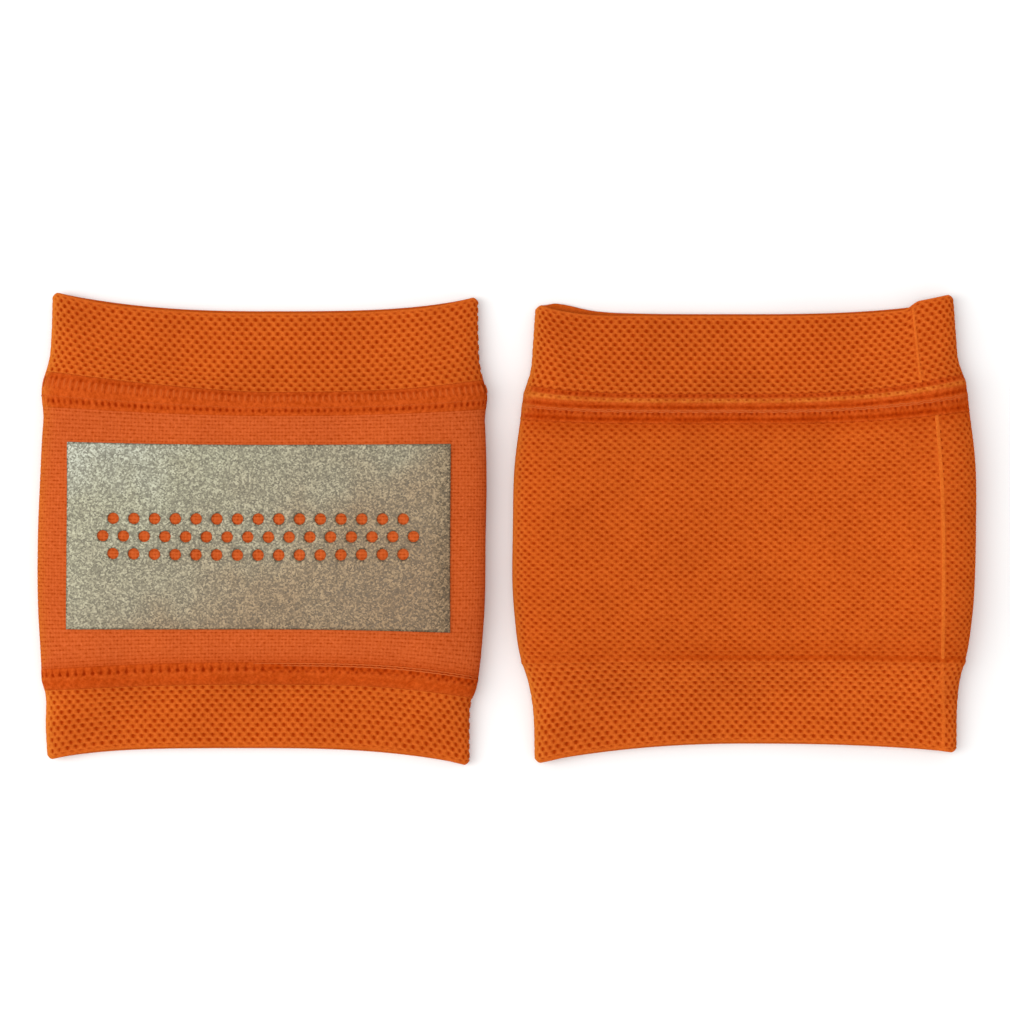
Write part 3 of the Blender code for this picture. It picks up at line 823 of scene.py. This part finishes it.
def add_main_sleeve(pad):
    lows = row_places(-HALF_LENGTH, SLEEVE_TOP, eyelet_spacing)
    band_top = SLEEVE_TOP - 2.0 if pad.front_up else BACK_BAND[0]

    def on_front(turn):
        return is_up(turn) == pad.front_up

    def holes(turn, along):
        hem = smooth((along + HALF_LENGTH - 0.5) / 0.5)
        top = smooth((band_top + 0.4 - along) / 0.5)
        body = smooth((along + 44.0) / 5.0)
        covered = on_front(turn) & (along > LOW_BAND[0] + 1.5)
        mask = (1.0 - 0.14 * body) * hem * top * is_up(turn, 0.05) * ~covered
        return mask * past_folds(pad, turn) * beside_seam(pad, turn, "sleeve", along)

    def ridge(along):
        """Where the pad's lower edge shows through the back."""
        return 0.0 if pad.front_up else bell(along, -39.6, 0.8)

    def tint_and_painted_light_of(turn, along):
        # Painted highlight on the lit left-hand fold. On the back: painted shade below the ridge of the pad's
        # lower edge, growing towards the right-hand side, and painted shadow under the back seam's band; the
        # body is a little darker all over.
        if pad.front_up:
            return painted_fold_highlight(pad, turn)
        body = smooth((along + 42.0) / 5.0)
        rightward = smooth((pad.share_at(turn) + 0.6) / 0.5)
        pad_edge_shade = ridge(along - 0.9) + 0.35 * bell(along, -36.0, 2.6)
        painted_shade_and_darker = 0.20 * body + (0.22 + 0.40 * rightward) * pad_edge_shade + 0.40 * bell(along, band_top, 2.6)
        return painted_fold_highlight(pad, turn) - painted_shade_and_darker * is_up(turn)

    def fine_at(turn, along):
        if pad.front_up:
            return is_up(turn, 0.045) & ((along < LOW_BAND[0] + 2.0) | ~is_up(turn, -0.008))
        return is_up(turn, 0.045)

    def depth_of(turn, along):
        share = pad.share_at(turn)
        under = smooth((along - LOW_BAND[0]) / 2.0) * on_front(turn)
        off_fold = smooth((1.0 - np.abs(share)) / 0.012)
        depth = under * off_fold * (PANEL_DEPTH + FOAM_DEPTH * pocket(share, along))
        return depth - 0.3 * ridge(along) * is_up(turn)

    return knit_tube(
        pad.side + "_sleeve", pad, lows, SLEEVE_KNIT, ("low",), holes, fine_at, depth_of, tint_and_painted_light_of, wedge=1.0
    )


def add_upper_cuff(pad):
    lows = row_places(CUFF_LOW, HALF_LENGTH, lambda along: EYELET_ROW_CUFF / 4.0)

    def holes(turn, along):
        hem = smooth((HALF_LENGTH - 0.5 - along) / 0.5)
        mask = (1.02 if pad.front_up else 1.08) * hem * is_up(turn, 0.05) * past_folds(pad, turn)
        return mask * beside_seam(pad, turn, "cuff", along)

    def fine_at(turn, along):
        return is_up(turn, 0.045)

    def depth_of(turn, along):
        return 0.0

    def tint_and_painted_light_of(turn, along):
        # Painted highlight on the lit left-hand fold, and painted shade on the under layer, which shows
        # inside the mouth; the right pad's cuff is a little darker.
        return painted_fold_highlight(pad, turn) - 0.5 * (~is_up(turn)) - (0.0 if pad.front_up else 0.06)

    return knit_tube(
        pad.side + "_cuff", pad, lows, CUFF_KNIT, ("high",), holes, fine_at, depth_of, tint_and_painted_light_of
    )


def half_turns(pad, on_front, count):
    """Turns across the front or the back, from fold to fold."""
    first = 0.0 if pad.front_up == on_front else 0.5
    return first + 0.5 * np.arange(count + 1) / count


def add_front_panel(pad):
    """The woven panel: grooves along every third row and column of its points, crossed by floats."""
    rows, columns = 27 * BLOCK, 50 * BLOCK
    lows = np.linspace(PANEL_LOW, PANEL_HIGH, rows + 1)
    i, j = np.meshgrid(np.arange(rows + 1), np.arange(columns + 1), indexing="ij")
    rng = np.random.default_rng(3)
    groove_row, groove_column = i % 3 == 0, j % 3 == 0
    dash = ((i // 3) * 5 + (j + 1) // 3) % 3 != 0
    strength = rng.random((rows // 3 + 2, columns // 3 + 2))[i // 3, (j + 1) // 3]
    rows_relief = 0.31 + dash * (0.10 + 0.32 * strength)
    relief = np.where(groove_row, rows_relief, np.where(groove_column, 0.30, 0.0))
    relief = relief + 0.25 * (groove_row & groove_column)
    relief = relief * (0.65 + 0.7 * rng.random(relief.shape))

    def surface(turn, along):
        # Painted highlight on the lit left-hand fold; darker along the panel's low edge.
        return 0.0, relief, 0.8 * painted_fold_highlight(pad, turn, 4.2) - 0.45 * bell(along, PANEL_LOW, 2.4)

    def fine_at(turn, along):
        """Where no film covers the panel, and in the film's openings."""
        if not pad.front_up:
            return False
        across = pad.share_at(turn) * 67.2
        covered = (across > FILM_X[0] + 2.5) & (across < FILM_X[1] - 2.5)
        covered = covered & (along > FILM_Y[0] + 2.5) & (along < FILM_Y[1] - 2.5)
        near_dots = (np.abs(along - FILM_MIDDLE[1]) < 9.5) & (np.abs(across) < 53.0)
        return ~covered | near_dots

    turns = half_turns(pad, True, columns)
    return strip(
        pad.side + "_panel", pad, turns, lows, WOVEN, surface, fine_at, MATERIALS["woven"], depth=0.22
    )


def film_points(pad, across, along, height):
    """Places on the front's film, which lies squarer than the pad, by millimetres across as seen."""
    half_width = curve(HALF_WIDTHS[pad.side], along)
    lean = curve(MIDDLE_LINES[pad.side], along) - curve(MIDDLE_LINES[pad.side], FILM_Y[1])
    turn = pad.upper_turn((across - 0.75 * lean) / half_width)
    if not pad.front_up:
        turn = 1.0 - turn
    return pad.at(turn, along, height)[0]


def dots():
    """Middles of the round openings in the film: a plain pattern of three staggered rows."""
    middles = []
    for row, count in ((-1, 15), (0, 16), (1, 15)):
        for k in range(count):
            middles.append(((k - (count - 1) / 2) * DOT_PITCH, DOT_ROW_PITCH * row))
    return np.array(middles) + FILM_MIDDLE


def add_film(pad):
    """The film. On the pad that lies front up it has openings, and the nearest points move to their edges."""
    step = 0.52 if pad.front_up else 4.0
    columns = round((FILM_X[1] - FILM_X[0]) / step)
    rows = round((FILM_Y[1] - FILM_Y[0]) / step)
    across, along = np.meshgrid(np.linspace(*FILM_X, columns + 1), np.linspace(*FILM_Y, rows + 1))
    kind = np.ones(across.shape, int)  # 1 film, 0 on the edge of a dot, -1 inside it
    height = np.full(across.shape, 0.18)
    if pad.front_up:
        for x, y in dots():
            dx, dy = across - x, along - y
            distance = np.hypot(dx, dy)
            onto = np.abs(distance - DOT_RADIUS) <= step * 0.52
            factor = np.where(onto, DOT_RADIUS / np.maximum(distance, 1e-6), 1.0)
            across, along = x + dx * factor, y + dy * factor
            kind = np.where(onto, 0, np.where(distance < DOT_RADIUS, -1, kind))
        i, j = np.meshgrid(np.arange(rows + 1), np.arange(columns + 1), indexing="ij")
        weave = 0.05 * ((i + j) % 2) + 0.05 * (i % 2) + 0.14 * np.random.default_rng(11).random(across.shape)
        height = height + np.where(kind == 1, weave, 0.10)
    faces = []
    for r in range(rows):
        for c in range(columns):
            corners = [(r, c), (r + 1, c), (r + 1, c + 1), (r, c + 1)]
            if not pad.front_up:
                corners.reverse()
            kinds = [kind[corner] for corner in corners]
            numbers = [a * (columns + 1) + b for a, b in corners]
            if min(kinds) >= 0 and max(kinds) > 0:
                faces.append(numbers)
            elif max(kinds) > 0:
                for k in range(4):
                    here, after = (k + 1) % 4, (k + 2) % 4
                    if kinds[here] > 0 and kinds[k] == 0 and kinds[after] == 0:
                        faces.append([numbers[k], numbers[here], numbers[after]])
    points = film_points(pad, across, along, height)
    film = new_object(pad.side + "_film", points, faces, MATERIALS["film"])
    solidify = film.modifiers.new("thickness", "SOLIDIFY")
    solidify.thickness = FILM_THICKNESS * MM
    solidify.offset = -1.0
    return film


def add_foam(pad):
    """A die-cut sheet of foam with rounded corners and softened edges, in the pocket behind the panel."""
    columns, rows = 48, 36
    side, low, high, thickness, depth = 49.0, -38.0, 30.0, 3.0, 1.0
    s, t = np.meshgrid(np.linspace(-1, 1, columns + 1), np.linspace(-1, 1, rows + 1))
    across = s * np.sqrt(1.0 - 0.10 * t ** 4) * side
    along = (low + high) / 2 + t * np.sqrt(1.0 - 0.16 * s ** 4) * (high - low) / 2
    edge = np.minimum((1 - np.abs(s)) * side, (1 - np.abs(t)) * (high - low) / 2)
    soften = 0.8 * (1.0 - smooth(edge / 2.5))
    top = film_points(pad, across, along, -depth - soften)
    bottom = film_points(pad, across, along, -depth - thickness + soften)
    width, layer = columns + 1, (rows + 1) * (columns + 1)
    faces = []
    for r in range(rows):
        for c in range(columns):
            a = r * width + c
            up = [a, a + width, a + width + 1, a + 1]
            faces.append(up[::-1] if pad.front_up else up)
            down = [corner + layer for corner in up]
            faces.append(down if pad.front_up else down[::-1])
    rim = list(range(width)) + [r * width + columns for r in range(1, rows + 1)]
    rim += [rows * width + c for c in reversed(range(columns))]
    rim += [r * width for r in reversed(range(1, rows))]
    for a, b in zip(rim, rim[1:] + rim[:1]):
        wall = [a, b, b + layer, a + layer]
        faces.append(wall[::-1] if pad.front_up else wall)
    return new_object(pad.side + "_foam", np.stack([top, bottom]), faces, MATERIALS["foam"])


# Seams


def pits(x, y, *rows):
    """Rows of soft round openings. A row is its strength, its pitch, its place across the seam, the openings'
    radii along and across the seam, and how far along it they are shifted."""
    total = 0.0
    for strength, pitch, row, radius_x, radius_y, shift in rows:
        from_middle = np.mod(x + shift, pitch) - pitch / 2
        total = total + strength * np.exp(-((from_middle / radius_x) ** 2) - ((y - row) / radius_y) ** 2)
    return total


def rough(x, y, seed):
    """Slow unevenness along a seam, from 0.6 to 1.4."""
    wave = np.sin(x * 0.71 + seed) + np.sin(x * 1.37 + 2.0 * seed + 0.8 * y)
    return 1.0 + 0.13 * (wave + np.sin(x * 0.23 - 1.3 * y + 3.0 * seed))


def raised_by(pad, on_front):
    """A seam stands out fully on the side that shows, and is pressed flat on the side the pad lies on."""
    return 1.0 if pad.front_up == on_front else 0.3


def add_band(pad, on_front, name, band, blocks, thickness, depth, surface):
    """The fabric band of a seam, across the front or the back. Its mesh is fine on the side that shows."""
    lows = np.linspace(*band, blocks * BLOCK + 1)
    turns = half_turns(pad, on_front, 52 * BLOCK)

    def fine_at(turn, along):
        return pad.front_up == on_front

    return strip(pad.side + name, pad, turns, lows, thickness, surface, fine_at, MATERIALS["seam"], depth)


def add_threads(pad, name, parts, material):
    """A seam's threads as one piece, from the points and faces of each set of them."""
    points, faces, before = [], [], 0
    for part_points, part_faces in parts:
        points.append(part_points)
        faces.extend([[corner + before for corner in face] for face in part_faces])
        before += len(part_points)
    return new_object(pad.side + name, np.concatenate(points), faces, MATERIALS[material])


def add_front_top_seam(pad):
    """The overlocked ridge between the upper cuff and the panel."""
    low, high = FRONT_BAND
    pitch = 1.94
    out = raised_by(pad, True)

    def profile(along):
        y = along - low
        ground = (0.05 + 0.17 * smooth(y / 0.8)) * smooth((high - along + 0.3) / 0.8)
        return out * (ground + 0.40 * smooth((y - 2.2) / 2.0) * smooth((high - along) / 1.8))

    def surface(turn, along):
        x, y = np.mod(turn, 0.5) * pad.round, along - low
        vary = rough(x, y, 1.0)
        even = pits(x, y, (0.22, pitch, 0.5, 0.6, 0.2, 0.5), (0.28, pitch, 5.1, 0.34, 0.9, 0.5))
        uneven = pits(
            x, y, (1.08, pitch, 1.55, 0.50, 0.58, 0.0), (0.26, pitch, 2.9, 0.40, 0.45, 0.1),
            (0.55, pitch, 4.1, 0.36, 0.45, 0.5), (0.62, pitch, 6.1, 0.58, 0.60, 0.5),
        )
        relief = (even + uneven * vary) * (1.0 - 0.8 * painted_fold_highlight(pad, turn, 5.0))
        # Darker along the two rows of marks; painted highlight on the lit left-hand fold.
        tint_and_painted_light = -0.38 * bell(y, 6.1, 1.2) - 0.22 * bell(y, 1.6, 0.9)
        tint_and_painted_light = tint_and_painted_light * vary * (1.0 - painted_fold_highlight(pad, turn, 5.0)) + 0.9 * painted_fold_highlight(pad, turn, 4.5)
        return profile(along), relief, tint_and_painted_light

    band = add_band(pad, True, "_front_seam", FRONT_BAND, 3, 1.2, 0.22, surface)
    if not pad.front_up:
        return band, None
    count = int(pad.width / pitch) - 1
    middle = (np.arange(count)[:, None] + 1.0) * pitch
    rng = np.random.default_rng(5)
    t = np.linspace(0.0, 1.0, 9)
    x = middle - 0.5 + (rng.random((count, 1)) - 0.5) * 0.5 * (t - 0.5)
    y = low + 4.0 + (2.0 + 0.4 * rng.random((count, 1))) * t
    lift = profile(y) - 0.16 + 0.12 * np.sin(math.pi * t) ** 0.6
    bars = tubes(*pad.at(x / pad.round, y, lift), 0.42, 0.13)
    t = np.linspace(0.0, 1.0, 6)
    x = middle - pitch / 2 + pitch * t
    y = low + 2.3 + 0.30 * np.sin(math.pi * t)
    loops = tubes(*pad.at(x / pad.round, y, profile(y) - 0.05), 0.15, 0.12)
    return band, add_threads(pad, "_front_seam_thread", [bars, loops], "thread")


def add_front_low_seam(pad):
    """The stitched lower edge of the panel: slits to the left, and two lines of stitches to the right."""
    high = LOW_BAND[1]
    out = raised_by(pad, True)

    def profile(along):
        y = high - along
        swell = 0.22 * smooth((y - 3.0) / 1.2) * smooth((7.6 - y) / 1.4)
        return out * (0.20 + swell - 0.18 * smooth((y - 5.6) / 1.8))

    def surface(turn, along):
        x, y = np.mod(turn, 0.5) * pad.round, high - along
        share = pad.share_at(turn) * (1.0 if pad.front_up else -1.0)
        rightward = 1.0 - smooth((0.12 - share) / 0.16)
        vary = rough(x, 0.0, 4.0)
        slits = pits(x, y, (0.55, 2.58, 1.3, 0.42, 1.2, 0.0))
        slits = slits + pits(x, y, (0.95, 2.58, 2.45, 0.56, 0.66, 0.0)) * vary
        rows = pits(x, y, (0.85, 2.5, 1.9, 0.55, 0.55, 0.0), (0.75, 2.5, 3.0, 0.55, 0.50, 1.25)) * vary
        between = pits(x, y, (0.80, 1.9, 0.72, 0.7, 0.22, 0.0))
        faint = pits(x, y, (0.30, 2.5, 4.6, 0.60, 0.50, 0.6), (0.30, 2.5, 5.9, 0.60, 0.50, 1.85))
        faint = faint + pits(x, y, (0.20, 1.3, 2.0, 0.30, 1.2, 0.0)) * rightward
        relief = slits * (1.0 - rightward) + (rows + between) * rightward + faint * vary
        relief = relief + 0.45 * bell(y, 0.15, 0.2)
        # Darker along the rows of slits and stitches, lighter between them; painted highlight on the lit
        # left-hand fold.
        tint_and_painted_light = -(0.35 + 0.35 * rightward) * bell(y, 1.5, 1.4) - 0.45 * bell(y, 5.0, 1.4)
        tint_and_painted_light = tint_and_painted_light * vary + 0.2 * bell(y, 3.5, 0.7) + 0.7 * painted_fold_highlight(pad, turn, 3.0)
        return profile(along), relief, tint_and_painted_light

    band = add_band(pad, True, "_low_seam", LOW_BAND, 3, 1.0, 0.45, surface)
    if not pad.front_up:
        return band, None
    parts = []
    for last, below in ((0.255, 0.38), (0.225, 1.08)):
        turn = np.linspace(0.008, last, 160)[None, :]
        along = high - below + 0.05 * np.sin(turn * pad.round * 2.5)
        parts.append(tubes(*pad.at(turn, along, profile(along) + 0.04), 0.16, 0.13))
    return band, add_threads(pad, "_low_seam_thread", parts, "light_thread")


def add_back_top_seam(pad):
    """The flat seam across the back: a row of needle holes, a bright rib, a groove, and a row of stitches."""
    high = BACK_BAND[1]
    out = raised_by(pad, False)

    def profile(along):
        y = high - along
        rib = 0.40 * bell(y, 2.35, 0.80, 4) + 0.18 * bell(y, 6.0, 0.7)
        return out * (0.10 + 0.10 * smooth(y / 1.2) + rib)

    def surface(turn, along):
        x, y = np.mod(turn, 0.5) * pad.round, high - along
        vary = rough(x, y, 2.0)
        marks = pits(x, y, (0.80, 2.65, 2.2, 0.62, 0.36, 0.0), (0.45, 2.65, 3.1, 0.5, 0.26, 1.32))
        uneven = pits(
            x, y, (0.95, 2.07, 0.75, 0.55, 0.50, 0.0), (0.80, 1.7, 6.3, 0.46, 0.50, 0.0),
            (0.22, 1.24, 7.2, 0.30, 1.3, 0.4),
        )
        groove = (0.34 + pits(x, y, (0.35, 1.9, 4.4, 0.6, 0.6, 0.0))) * bell(y, 4.35, 0.50, 4)
        foot = (0.30 + pits(x, y, (0.5, 2.3, 8.0, 0.7, 0.5, 0.6))) * bell(y, 8.0, 0.5)
        broken = 0.55 + pits(x, y, (0.5, 1.32, 2.4, 0.5, 2.0, 0.0))
        # The rib is lighter; painted shade fills the groove and the band below the stitches, and the band is
        # darker along its high edge and over its lower part; painted highlight on the lit left-hand fold.
        bright = 0.72 * broken * bell(y, 2.30, 0.72, 4)
        painted_shade_and_darker = 0.85 * bell(y, 4.3, 0.6, 4) + 0.9 * bell(y, 8.0, 0.7, 4)
        painted_shade_and_darker = painted_shade_and_darker + 0.45 * bell(y, 0.5, 0.9) + 0.28 * smooth((y - 5.0) / 1.0)
        at_fold = painted_fold_highlight(pad, turn, 6.0)
        relief = (marks + (uneven + groove + foot) * vary) * (1.0 - 0.6 * at_fold)
        tint_and_painted_light = (bright - painted_shade_and_darker) * vary * (1.0 - 0.8 * at_fold) + 0.8 * at_fold
        return profile(along), relief, np.clip(tint_and_painted_light, -1.0, 1.0)

    band = add_band(pad, False, "_back_seam", BACK_BAND, 4, 1.2, 0.18, surface)
    if pad.front_up:
        return band, None
    turn = np.linspace(0.008, 0.492, 420)[None, :]
    x = turn * pad.round
    parts = []
    for below in (5.35, 5.8):
        along = high - below + 0.12 * np.sin(x * 1.9 + below) + 0.05 * np.sin(x * 5.1)
        parts.append(tubes(*pad.at(turn, along, profile(along) + 0.02), 0.12, 0.09))
    return band, add_threads(pad, "_back_seam_thread", parts, "light_thread")


def add_closing_seam(pad, tube, low, high, strength):
    """A seam that closes a tube along the back: a narrow smooth welt, with a line of stitches beside it."""
    half = CLOSING_HALF[tube]
    turns = np.linspace(-half, half, 2 * BLOCK + 1) / pad.round
    rows = max(1, round((high - low) / (0.3 * BLOCK))) * BLOCK
    lows = np.linspace(low, high, rows + 1)
    out = raised_by(pad, False)

    def surface(from_middle, along):
        x = from_middle * pad.round  # grows to the left, as seen
        welt = strength * 0.14 * bell(x, 0.1, 0.5) + 0.06 * smooth((half - np.abs(x)) / 0.25)
        ticks = np.cos(along * 2 * math.pi / 1.3)
        line = strength * 0.45 * bell(x, -0.45, 0.16) * (0.6 + 0.4 * ticks)
        return out * (welt - 0.04), line, strength * bell(x, 0.05, 0.5)

    def fine_at(turn, along):
        return not pad.front_up

    def middle(along):
        return closing_turn(pad, tube, along)

    name = pad.side + "_" + tube + "_closing_thread"
    return strip(name, pad, turns, lows, 0.9, surface, fine_at, MATERIALS["knit"], 0.25, middle)


# The object and its studio


def finish_piece(obj, pad, slot, *nodes):
    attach(obj, pad.side + "_pad")
    if nodes:
        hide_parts(*[pad.side + "_" + node for node in nodes])
    return obj


def build_pad(side):
    pad = Pad(side)
    settle(pad)
    sleeve = finish_piece(add_main_sleeve(pad), pad, "eyelet_knit", "main_sleeve")
    cuff = finish_piece(add_upper_cuff(pad), pad, "eyelet_knit", "upper_cuff")
    panel = finish_piece(add_front_panel(pad), pad, "woven_stretch", "front_panel")
    finish_piece(add_film(pad), pad, "reflective_film", "reflective_film")
    foam = finish_piece(add_foam(pad), pad, "foam", "foam_pad")
    for node, (band, threads) in (
        ("front_top_seam", add_front_top_seam(pad)),
        ("front_low_seam", add_front_low_seam(pad)),
        ("back_top_seam", add_back_top_seam(pad)),
    ):
        finish_piece(band, pad, "seam_thread", node)
        if threads:
            finish_piece(threads, pad, "seam_thread")
    for tube, low, high, strength in (
        ("sleeve", -39.4, BACK_BAND[0] + 0.4, 0.26),
        ("cuff", BACK_BAND[1] - 0.4, 64.4, 0.12),
    ):
        closing = add_closing_seam(pad, tube, low, high, strength)
        finish_piece(closing, pad, "seam_thread", tube + "_closing_seam")


def add_stage():
    material, n = new_material("studio_floor", (0.87, 0.87, 0.87), 0.8)
    clouds = n.noise(n.place(), 3.0)
    n.feed(n.shader, "Base Color", n.ramp(clouds, ((0.3, (0.87, 0.87, 0.87)), (0.7, (0.88, 0.88, 0.88)))))
    bpy.ops.mesh.primitive_plane_add(size=FLOOR_SIZE, location=(0.0, 0.0, 0.0))
    floor = bpy.context.object
    floor.name = "floor"
    floor.data.materials.append(material)


def add_lights():
    """Even light from all round, and one large soft light up to the left."""
    world = bpy.data.worlds.new("studio")
    bpy.context.scene.world = world
    world.use_nodes = True
    background = world.node_tree.nodes["Background"]
    background.inputs["Color"].default_value = (1.0, 1.0, 1.0, 1.0)
    background.inputs["Strength"].default_value = WORLD_STRENGTH
    data = bpy.data.lights.new("key", "AREA")
    data.shape = "RECTANGLE"
    data.size, data.size_y = KEY_SIZE
    data.energy = KEY_POWER
    data.color = KEY_COLOUR
    light = bpy.data.objects.new("key", data)
    bpy.context.scene.collection.objects.link(light)
    light.location = KEY_PLACE
    light.rotation_mode = "QUATERNION"
    light.rotation_quaternion = (Vector((0.0, 0.0, 0.0)) - Vector(KEY_PLACE)).to_track_quat("-Z", "Y")


def add_camera():
    """A camera straight above the pads."""
    data = bpy.data.cameras.new("camera")
    data.lens = 120.0
    data.sensor_width = 36.0
    camera = bpy.data.objects.new("camera", data)
    bpy.context.scene.collection.objects.link(camera)
    camera.location = (*SEEN_MIDDLE, SEEN_HEIGHT + SEEN_WIDTH * data.lens / data.sensor_width)
    bpy.context.scene.camera = camera


def main():
    add_camera()
    add_lights()
    add_stage()
    for side in ("left", "right"):
        build_pad(side)
    bpy.context.scene.view_settings.view_transform = "Standard"


main()
